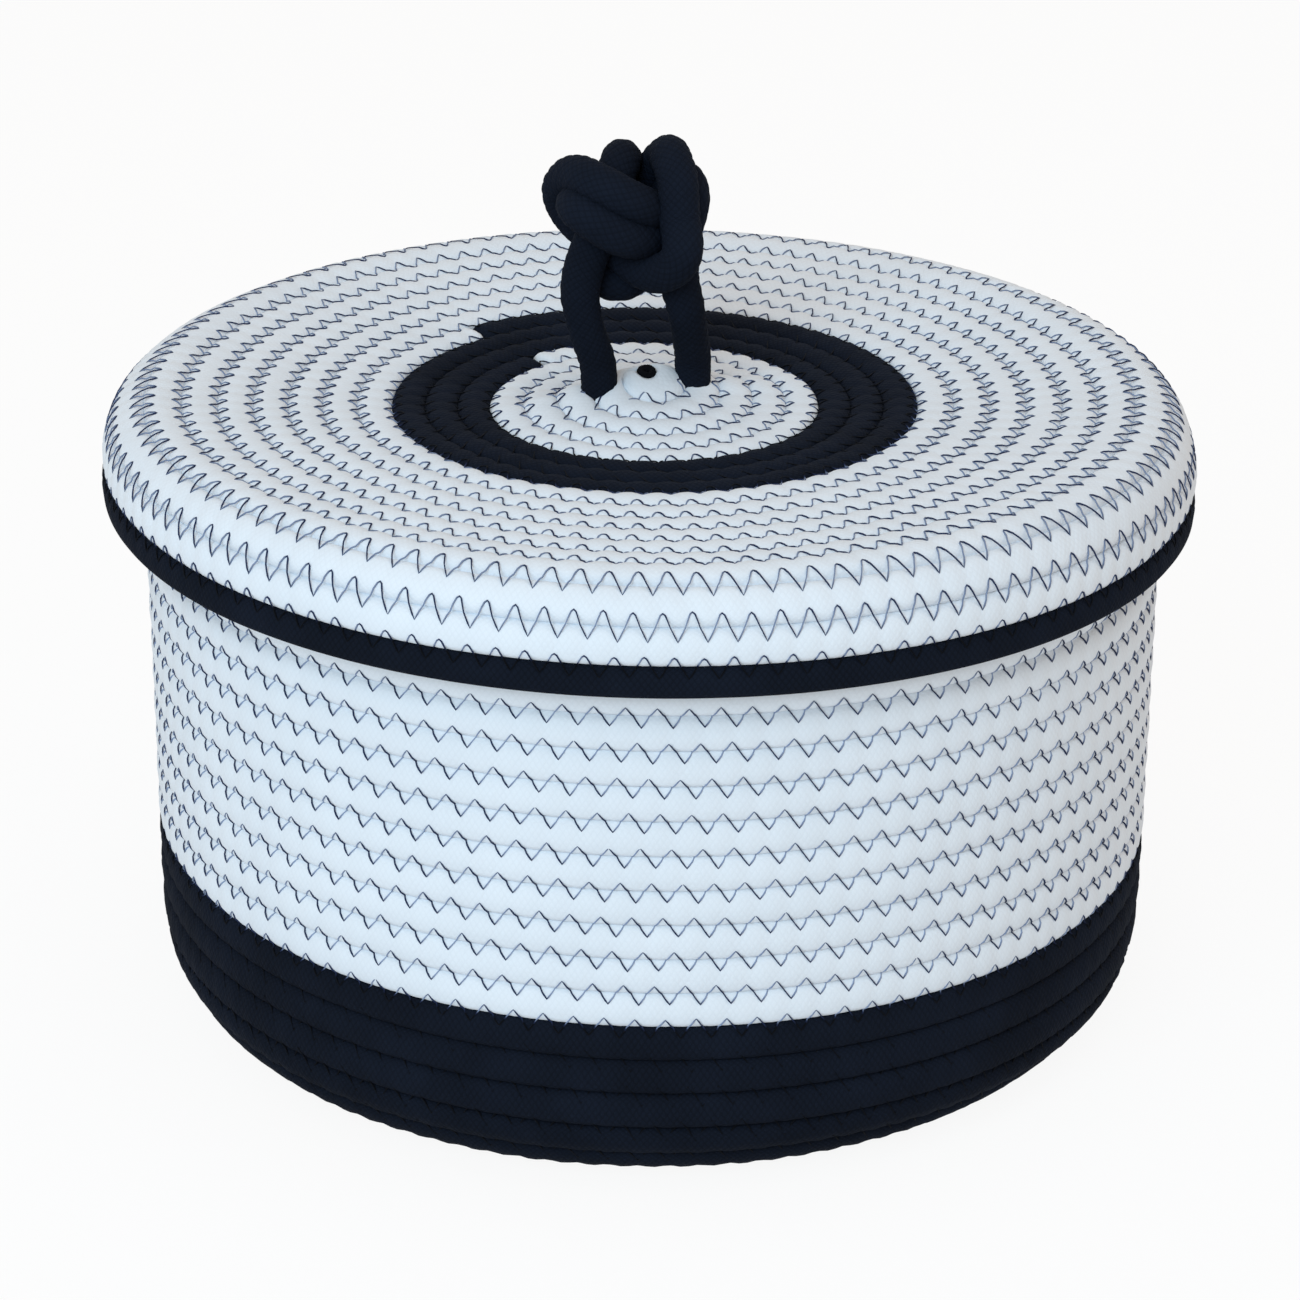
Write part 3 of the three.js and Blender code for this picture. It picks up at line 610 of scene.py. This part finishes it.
# How far the middle and the edge lie to the left, the slopes along and across the view, and what
# is left of the width.
ASIDE_RADII, ASIDE_BY = [0, 72, 110], [-2.1, -2.1, -1.2]
ASKEW_ALONG, ASKEW_BACK, ASKEW_FRONT = -0.004, 0.0055, -0.003
WIDTH_LEFT = 0.993


def lid_settles(points):
    """The worn lid sits a little aside and askew, and its soft top has sunk between hub and edge."""
    x, y, z = points[..., 0], points[..., 1], points[..., 2]
    radius = np.hypot(x, y)
    sunk = np.interp(radius, SUNK_RADII, SUNK_BY)
    beside_feet = y * math.cos(FOOT_AZIMUTH) - x * math.sin(FOOT_AZIMUTH)
    hump = np.exp(-((beside_feet - HUMP_BACK) / HUMP_WIDTH) ** 2)
    sunk = sunk - DOME_SUNK * (1 - hump) * np.exp(-(radius / DOME_REACH) ** 2)
    sunk = sunk + EYE_TILT * y * np.exp(-(radius / EYE_TILT_REACH) ** 2)
    aside = np.interp(radius, ASIDE_RADII, ASIDE_BY)
    askew = ASKEW_ALONG * x + np.where(y > 0, ASKEW_BACK, ASKEW_FRONT) * y
    opening = EYE_OPENING * np.exp(-(radius / EYE_OPENING_REACH) ** 2)
    wider = WIDTH_LEFT + opening / np.maximum(radius, 0.5)
    return np.stack([wider * x + aside, wider * y, z + sunk + askew], -1)


lid_wall = SewnWall(EYE_RADIUS, lid_top_crest - OUTER_HALF, rise=-1, start_angle=LID_START, sense=1,
                    stretches=LID_STRETCHES, halves=(4.0, 4.4), square=0.66, settle=lid_settles,
                    zigzag=LID_ZIGZAG, dips=(0.85, 1.3), round_share=0.5)
DOME_END = EYE_TURNS + DOME_TURNS
RING_END = DOME_END + RING_TURNS
SIDE_END = RING_END + TOP_TURNS + SIDE_TURNS
LID_END = SIDE_END + round(RIM_TURNS * CAD_STEPS) / CAD_STEPS
for name, start, end, material, nodes, slot, taper in (
    ("white_lid_centre_rope", 0, DOME_END, white_cotton, ["lid_centre"], "white_cotton", 0),
    ("black_lid_ring_rope", DOME_END, RING_END, black_cotton, ["lid_ring"], "black_cotton", 0),
    ("white_lid_rope", RING_END, SIDE_END, white_cotton, ["lid_top", "lid_side"], "white_cotton", 0),
    ("black_lid_rim_rope", SIDE_END, LID_END, black_cotton, ["lid_rim"], "black_cotton", RIM_TURNS - 1),
):
    rope = rope_run(name, lid_wall, start, end, material, taper=taper)
    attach(rope, "lid")
    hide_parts(*nodes)
for name, start, end, material, per_leg in (
    ("lid_centre_thread", SEAM_START, DOME_END + 1, navy_thread, 6),
    ("lid_ring_thread", DOME_END + 1, RING_END, black_thread, 2),
    ("lid_thread", RING_END, SIDE_END + 1, navy_thread, 6),
):
    for place, face in (("above", 1), ("below", -1)):
        thread = thread_run(f"{name}_{place}", lid_wall, start, end, material, face, per_leg,
                            black=[(DOME_END, RING_END), (SIDE_END, LID_END)])
        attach(thread, "lid")

# Eye of the lid. A small tangle of dark thread is wound round in it and fills it, so that the eye shows
# dark.
EYE_WINDS, EYE_STEPS = 13, 16
EYE_KNOT_RADIUS, EYE_KNOT_WIDTH, EYE_KNOT_HEIGHT = 1.1, 0.8, 0.9
EYE_KNOT_DEPTH = 2.0
# Rounds that the thread makes over and under while it goes once round the eye.
EYE_WRAPS = 2.7
EYE_KNOT_SIDES, EYE_KNOT_ROWS = 5, 4


def twist_free(line):
    """Two directions square to a line that turn as little as they can along it."""
    tangent = np.gradient(line, axis=0)
    tangent /= np.linalg.norm(tangent, axis=1)[:, None]
    side = np.zeros_like(line)
    current = np.array([1.0, 0, 0])
    for i, way in enumerate(tangent):
        current = current - way * (current @ way)
        current /= np.linalg.norm(current)
        side[i] = current
    return side, np.cross(tangent, side)


def tube(line, radius, sides):
    """Rings of points round a line in millimetres, as points of the scene in metres."""
    side_way, up_way = twist_free(line)
    around = 2 * math.pi * np.arange(sides) / sides
    return (line[:, None, :] + (radius * np.cos(around))[..., None] * side_way[:, None, :]
            + (radius * np.sin(around))[..., None] * up_way[:, None, :]) * MM


winds = np.linspace(0, 2 * math.pi * EYE_WINDS, EYE_WINDS * EYE_STEPS)
ring = EYE_KNOT_RADIUS + EYE_KNOT_WIDTH * np.cos(EYE_WRAPS * winds)
over = lid_top_crest - EYE_KNOT_DEPTH + EYE_KNOT_HEIGHT * np.sin(EYE_WRAPS * winds)
eye_line = lid_settles(np.stack([ring * np.cos(winds), ring * np.sin(winds), over], -1))
rings = tube(eye_line, np.full((len(winds), 1), THREAD / 2), EYE_KNOT_SIDES)
girth = np.linspace(0, 1, EYE_KNOT_SIDES + 1)
eye_knot = mesh_from_grid("lid_eye_thread", rings, np.full(len(winds), -1.0), girth,
                          in_rows(len(winds), EYE_KNOT_ROWS), black_thread)
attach(eye_knot, "lid")

# Handle. One black rope comes up through the lid, is tied in a round button knot and goes down
# again, and each end is stopped under the lid by an overhand knot.
HANDLE_ROPE = 8.7
# It is tightened as the CAD does it: the spacing of the points, how often the line is laid anew, the
# rounds of each lay, and the gap that is kept between strands.
KNOT_STEP, KNOT_LAYS, KNOT_ROUNDS, KNOT_SLACK = 3, 4, 300, 0.85
# The tightest bend, and from which length on the rope counts as another strand, in diameters.
TIGHTEST_BEND, OTHER_STRAND = 0.65, 1.5
# Each round smooths the line, much at first and little at last, holds it to where it was laid,
# and pushes strands apart that are too near. The points at its ends stay where they are.
SMOOTH_LAST, SMOOTH_MORE, HOLD = 0.03, 0.27, 0.05
PUSH, PUSHES = 1.6, 2
END_POINTS = 3
# The middle of the knot over the feet's line, and the stoppers' place, size and tails.
KNOT_HEIGHT, KNOT_ASIDE = 41.6, -5
STOPPER_DROP, STOPPER_SCALE, TAIL_LENGTH = 39, 4.4, 8


def evenly(points, step):
    """The same line with its points evenly spaced."""
    along = np.concatenate([[0], np.cumsum(np.linalg.norm(np.diff(points, axis=0), axis=1))])
    count = round(along[-1] / step)
    target = along[-1] * np.arange(count + 1) / count
    return np.stack([np.interp(target, along, points[:, i]) for i in range(3)], -1)


def tighten(guide):
    """Given guide points become a tight knot, drawn in while its strands hold apart."""
    line = evenly(guide, KNOT_STEP)
    bend = TIGHTEST_BEND * HANDLE_ROPE
    for _ in range(KNOT_LAYS):
        laid = line.copy()
        count = len(line)
        rows, columns = np.triu_indices(count, 2)
        apart = columns - rows
        chord = np.minimum(2 * bend * np.sin(np.minimum(apart * KNOT_STEP / (2 * bend), math.pi / 2)),
                           HANDLE_ROPE)
        other_strand = apart >= math.ceil(OTHER_STRAND * HANDLE_ROPE / KNOT_STEP)
        least = np.where(other_strand, HANDLE_ROPE + KNOT_SLACK, chord)
        free = slice(END_POINTS, count - END_POINTS)
        for turn in range(KNOT_ROUNDS):
            left = 1 - turn / KNOT_ROUNDS
            middle = line.copy()
            middle[1:-1] = (line[:-2] + line[2:]) / 2
            moved = line + (middle - line) * (SMOOTH_LAST + SMOOTH_MORE * left)
            moved = moved + (laid - moved) * (HOLD * left)
            line[free] = moved[free]
            for _ in range(PUSHES):
                between = line[columns] - line[rows]
                distance = np.linalg.norm(between, axis=1)
                near = distance < least
                away = between[near] * ((least[near] - distance[near]) / distance[near] / 2)[:, None]
                push, hits = np.zeros_like(line), np.zeros(count)
                np.add.at(push, columns[near], away)
                np.add.at(push, rows[near], -away)
                np.add.at(hits, columns[near], 1)
                np.add.at(hits, rows[near], 1)
                step = push * (PUSH / np.maximum(hits, 1))[:, None]
                line[free] += step[free]
        line = evenly(line, KNOT_STEP)
    return line


foot_way = np.array([math.cos(FOOT_AZIMUTH), math.sin(FOOT_AZIMUTH), 0])
pivot_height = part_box("handle_knot")[0][2] / MM + HANDLE_ROPE / 2
mouth_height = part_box("left_tail")[1][2] / MM
knot_middle = np.array([KNOT_ASIDE, 0, pivot_height + KNOT_HEIGHT])
# The way of the rope through the knot, from its left leg to its right one, measured from its
# middle: aside, back and up.
KNOT_GUIDE = [
    (-11, -8.5, -30), (-12, -6.5, -23), (-11.5, -3.5, -16), (-10, -2, -10),
    (-7.5, -1.5, -2.5), (-5, 0, 4), (-3, 1, 11),
    (-2, 4, 18), (-2, 9.5, 18.5), (-2, 15.5, 11),
    (-4, 15.5, 3.5), (-5.5, 13.5, -4), (-5.5, 7, -8.5), (-6, -0.5, -9),
    (-5, -7.5, -10.5), (-3.5, -9, -13.5), (0, -6.5, -16), (3.5, -1.5, -15), (5, 4.5, -13),
    (5, 10, -9), (5, 13.5, -4), (6, 14.5, 3), (7, 13, 9.5),
    (8.5, 9, 15.5), (9, 2, 18), (8.5, -3.5, 15.5), (7, -5, 11.5),
    (5.5, -4, 7), (7, -7.5, 6.5), (10.5, -10, 5.5), (14, -10.5, 1.5),
    (14, -12, -3.5), (11, -13.5, -7.5), (6.5, -15, -9), (2.5, -12.5, -10),
    (0.5, -3.5, -8), (-5, 6.5, -6), (-11, 9, -1.5), (-15.5, 6.5, 4.5),
    (-17, 2, 10), (-15, -2.5, 13), (-10.5, -6.5, 13.5),
    (-6, -10, 11), (-1, -12, 7.5), (3, -13, 3.5), (5, -9, -2),
    (4.5, -2, -3.5), (1, 4.5, -2.5), (-4, 7.5, 0.5), (-10, 6, 2), (-14.5, 2.5, 3.5),
    (-15.5, -2.5, 3), (-13.5, -8, 2), (-10.5, -11.5, 0.5), (-6.5, -12.5, -1.5), (-2, -11.5, -5),
    (1.5, -5, -6), (4.5, 1.5, -5.5), (9, 5, -4.5), (12, 7, -1), (13.5, 8.5, 5),
    (14.5, 7, 9.5), (15.5, 1.5, 8), (15, 1, 3), (15, 0, -4),
    (15, -3.5, -11.5), (16, -6, -20), (17, -8.5, -29),
]
pivots = [side * FOOT_REACH * foot_way + (0, 0, pivot_height) for side in (-1, 1)]
knot_line = tighten(np.vstack([pivots[0], np.array(KNOT_GUIDE) + knot_middle, pivots[1]]))


def stopper_line(side):
    """An overhand knot under the lid, with its body on the outer side."""
    out_way = side * foot_way
    aside_way = np.array([-out_way[1], out_way[0], 0])
    foot = FOOT_REACH * out_way

    def place(out, aside, down):
        return foot + out * out_way + aside * aside_way + (0, 0, mouth_height - down)

    # The knot is a trefoil, opened at its top by this angle for the rope to come in and go out.
    opening, points, above = 0.35, 17, 4 * STOPPER_SCALE
    guide = [place(0, 0, 0), place(0, 0, STOPPER_DROP - above)]
    for t in np.linspace(math.pi + opening, 3 * math.pi - opening, points):
        guide.append(place(STOPPER_SCALE * (3 + math.cos(t) - 2 * math.cos(2 * t)),
                           -STOPPER_SCALE * math.sin(3 * t),
                           STOPPER_DROP + STOPPER_SCALE * (math.sin(t) + 2 * math.sin(2 * t))))
    guide.append(place(0, 0, STOPPER_DROP + above))
    guide.append(place(0, 0, STOPPER_DROP + above + TAIL_LENGTH))
    return tighten(np.array(guide))


def smooth_line(points, step):
    """A flowing line through the knot's points, first evened out among their neighbours."""
    rounds, finer = 2, 6
    line = points.copy()
    for _ in range(rounds):
        line[1:-1] = 0.25 * line[:-2] + 0.5 * line[1:-1] + 0.25 * line[2:]
    fine = np.linspace(0, len(line) - 1, len(line) * finer)
    base = np.clip(np.floor(fine).astype(int), 0, len(line) - 2)
    t = (fine - base)[:, None]
    before = line[np.clip(base - 1, 0, None)]
    here, there = line[base], line[base + 1]
    after = line[np.clip(base + 2, None, len(line) - 1)]
    curve = 0.5 * (2 * here + (there - before) * t + (2 * before - 5 * here + 4 * there - after) * t ** 2
                   + (3 * here - before - 3 * there + after) * t ** 3)
    return evenly(curve, step)


HANDLE_STEP = 0.55
handle_points = np.vstack([stopper_line(-1)[::-1], knot_line, stopper_line(1)])
handle_line = smooth_line(handle_points, HANDLE_STEP)
# The used handle leans to the left. Each leg leans by one amount at its foot and by another where
# it meets the knot, and the knot is a little narrower than it was tied, and straighter at its top.
LEG_HEIGHTS, LEFT_LEG_LEANS, RIGHT_LEG_LEANS = [0, 24], [-3.0, -3.5], [-1.4, -3.7]
KNOT_LEAN, KNOT_NARROWER = -2.6, 0.05
KNOT_TOP_HEIGHTS, KNOT_TOP_BACK = [48, 56], 1.4
# Over these distances the left leg's lean gives way to the right one's, and a leg's to the knot's.
LEFT_TO_RIGHT, LEG_TO_KNOT = [0, 8], [20, 34]
above = handle_line[:, 2] - pivot_height
right_side = np.interp(handle_line[:, 0], LEFT_TO_RIGHT, [0, 1])
leg_aside = np.interp(above, LEG_HEIGHTS, LEFT_LEG_LEANS) * (1 - right_side)
leg_aside += np.interp(above, LEG_HEIGHTS, RIGHT_LEG_LEANS) * right_side
body_aside = KNOT_LEAN - KNOT_NARROWER * (handle_line[:, 0] - KNOT_ASIDE)
body_aside += np.interp(above, KNOT_TOP_HEIGHTS, [0, KNOT_TOP_BACK])
in_body = np.interp(above, LEG_TO_KNOT, [0, 1])
# Its right shoulder stands higher: by how much, where aside, how wide, and from which height on.
SHOULDER_UP, SHOULDER_ASIDE, SHOULDER_WIDTH, SHOULDER_HEIGHTS = 2.8, 15, 5, [38, 46]
from_shoulder = handle_line[:, 0] - KNOT_ASIDE - SHOULDER_ASIDE
shoulder = np.exp(-(from_shoulder / SHOULDER_WIDTH) ** 2) * np.interp(above, SHOULDER_HEIGHTS, [0, 1])
handle_line[:, 0] += leg_aside * (1 - in_body) + body_aside * in_body
handle_line[:, 2] += SHOULDER_UP * shoulder
# Where the strands of the real knot lie off this one's: place along the rope, aside, back, up.
SHIFTS = np.array([
    (255, 0, 0, 0), (270, 0, 0, -0.7), (286, 0, 0, -0.7), (300, 0, 0, 0),
    (352, 0, 0, 0), (365, 2, 0, -1.2), (383, 2, 0, -1.2), (391, 2.5, 1.5, -1), (396, 4.5, -1, 0),
    (402, 6, -3, 0), (409, 5, -2.5, -1.5), (416, 2.5, -0.5, -2), (424, 0, 0, -0.5),
    (436, 0, 0, -0.5), (449, 0, 0, -2.2), (462, 0, 0, -1.7), (472, 0.5, 0, -1.5), (480, 2, -0.5, -2.5),
    (488, 4, -1, -4), (493, 4.5, 0, -4.5), (498, 3, 0, -3), (507, 0, 0, 0),
    (524, 0, 0, 0), (535, 1, -0.3, -1.5), (546, 2, 0, -2), (556, 0, 0, 0),
    (563, 0, 0, 0), (572, 0, 0, 0.8), (577, -1.8, 0, 0), (582, -2.5, 0, 0), (592, -1, 0, 0),
    (598, 0, 0, 0),
])
SHIFT_ROUNDS = 12
distance = HANDLE_STEP * np.arange(len(handle_line))
shift = np.stack([np.interp(distance, SHIFTS[:, 0], SHIFTS[:, i]) for i in (1, 2, 3)], -1)
for _ in range(SHIFT_ROUNDS):
    shift[1:-1] = (shift[:-2] + shift[1:-1] + shift[2:]) / 3
handle_line += shift
# The rope is thicker than the CAD's, which keeps gaps, and from these heights on thicker again.
SHOWN_ROPE, KNOTTED_ROPE, KNOTTED_HEIGHTS = 10.2, 11.3, [12, 26]
swollen = np.interp(above, KNOTTED_HEIGHTS, [0, 1])
# Its braid is in the mesh as well: two sets of strands that cross, with hollows between them.
BRAID_SIDES = 48
BRAID_PITCH, BRAID_STRANDS, BRAID_DEPTH = 3.4, 8, 0.32
around = 2 * math.pi * np.arange(BRAID_SIDES) / BRAID_SIDES
lengthwise = math.pi * distance[:, None] / BRAID_PITCH
one = np.abs(np.sin(lengthwise + BRAID_STRANDS / 2 * around[None, :]))
other = np.abs(np.sin(lengthwise - BRAID_STRANDS / 2 * around[None, :]))
radius = (SHOWN_ROPE + (KNOTTED_ROPE - SHOWN_ROPE) * swollen[:, None]) / 2
radius = radius - BRAID_DEPTH * (1 - np.sqrt(one * other))
HANDLE_CUT_REACH, HANDLE_CUT_SHARE = 3, 0.95
from_end = np.minimum(distance, distance[-1] - distance)
radius = radius * cut_end(from_end, HANDLE_CUT_REACH, HANDLE_CUT_SHARE)
HANDLE_ROWS = 30
girth = np.linspace(0, math.pi * SHOWN_ROPE, BRAID_SIDES + 1)
handle_rope = mesh_from_grid("handle_rope", tube(handle_line, radius, BRAID_SIDES), distance, girth,
                             in_rows(len(distance), HANDLE_ROWS), black_cotton)
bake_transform(handle_rope)
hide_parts("left_tail", "right_tail", "handle_knot")

# Stage. A matt white floor in a white room, under soft light that is a little cooler and stronger
# from the front left. The floor keeps a faint shadow of the basket.
def seen_directly(tree):
    """One for the rays of the camera, of mirrors and of clear things, nought for the light's own."""
    path = add(tree, "LightPath")
    seen = add(tree, "Math", {"operation": "ADD", "use_clamp": True}, _0=path.outputs["Is Camera Ray"],
               _1=path.outputs["Is Glossy Ray"])
    seen = add(tree, "Math", {"operation": "ADD", "use_clamp": True}, _0=seen.outputs[0],
               _1=path.outputs["Is Transmission Ray"])
    return seen.outputs[0]


def plain(name, colour, shows):
    """A matt surface whose colour the camera sees with less of its shading."""
    made = bpy.data.materials.new(name)
    made.use_nodes = True
    tree = made.node_tree
    tree.nodes.clear()
    matt = add(tree, "BsdfDiffuse", Color=linear(colour))
    glow = add(tree, "Emission", Color=linear("#ffffff"), Strength=1.0)
    share = add(tree, "Math", {"operation": "MULTIPLY"}, _0=seen_directly(tree), _1=shows)
    mix = add(tree, "MixShader", _0=share.outputs[0], _1=matt.outputs[0], _2=glow.outputs[0])
    out = add(tree, "OutputMaterial")
    tree.links.new(mix.outputs[0], out.inputs[0])
    return made


# Half the floor's width and how far it lies under the basket, in metres.
FLOOR, FLOOR_DROP = 6.0, 0.0004
floor_mesh = bpy.data.meshes.new("floor")
floor_mesh.from_pydata([(-FLOOR, -FLOOR, 0), (FLOOR, -FLOOR, 0), (FLOOR, FLOOR, 0), (-FLOOR, FLOOR, 0)],
                       [], [(0, 1, 2, 3)])
floor_mesh.materials.append(plain("white_floor", "#f7f8f9", shows=0.91))
floor = bpy.data.objects.new("floor", floor_mesh)
bpy.context.collection.objects.link(floor)
floor.location.z = -FLOOR_DROP

world = bpy.data.worlds.new("studio")
bpy.context.scene.world = world
world.use_nodes = True
tree = world.node_tree
tree.nodes.clear()
soft = add(tree, "Background", Color=linear("#fff3e8"), Strength=0.63)
white = add(tree, "Background", Color=linear("#ffffff"), Strength=1.0)
mix = add(tree, "MixShader", _0=seen_directly(tree), _1=soft.outputs[0], _2=white.outputs[0])
out = add(tree, "OutputWorld")
tree.links.new(mix.outputs[0], out.inputs[0])


def lamp(name, place, target, size, power, colour):
    """A soft box that looks at a point of the object."""
    light = bpy.data.lights.new(name, "AREA")
    light.shape, light.size, light.energy = "SQUARE", size, power
    light.color = linear(colour)[:3]
    made = bpy.data.objects.new(name, light)
    bpy.context.collection.objects.link(made)
    made.location = place
    way = np.array(target) - np.array(place)
    made.rotation_euler = (math.acos(-way[2] / np.linalg.norm(way)), 0, math.atan2(-way[0], way[1]))


# Places and sizes are in metres, and the power is in watts.
BASKET_MIDDLE = (0, 0, 0.1)
lamp("key", (-0.69, -1.71, 1.3), BASKET_MIDDLE, size=1.3, power=24, colour="#bfe4fb")
lamp("top", (0.4, -0.4, 2.0), BASKET_MIDDLE, size=1.4, power=3.4, colour="#d4e9ff")

# Camera, at the photograph's place: 24 degrees up, a little over one metre away and turned very
# slightly about its own axis. It looks at the point AIM metres above the floor's middle.
DISTANCE, ELEVATION, ROLL = 1.14, math.radians(23.97), math.radians(0.34)
AIM = 0.0833
# Focal length, width and middle of the photograph in its own pixels, and Blender's sensor width.
FOCAL_PIXELS, FRAME_PIXELS = 4015.3, 1300
PRINCIPAL = (652.2, 687.8)
SENSOR = 36
camera = bpy.data.objects.new("camera", bpy.data.cameras.new("camera"))
bpy.context.collection.objects.link(camera)
camera.data.sensor_width = SENSOR
camera.data.lens = SENSOR * FOCAL_PIXELS / FRAME_PIXELS
camera.data.shift_x = (FRAME_PIXELS / 2 - PRINCIPAL[0]) / FRAME_PIXELS
camera.data.shift_y = (PRINCIPAL[1] - FRAME_PIXELS / 2) / FRAME_PIXELS
camera.location = (0, -DISTANCE * math.cos(ELEVATION), AIM + DISTANCE * math.sin(ELEVATION))
camera.rotation_mode = "XYZ"
camera.rotation_euler = (math.pi / 2 - ELEVATION, 0, 0)
camera.rotation_euler.rotate_axis("Z", ROLL)
bpy.context.scene.camera = camera
bpy.context.scene.view_settings.view_transform = "Standard"
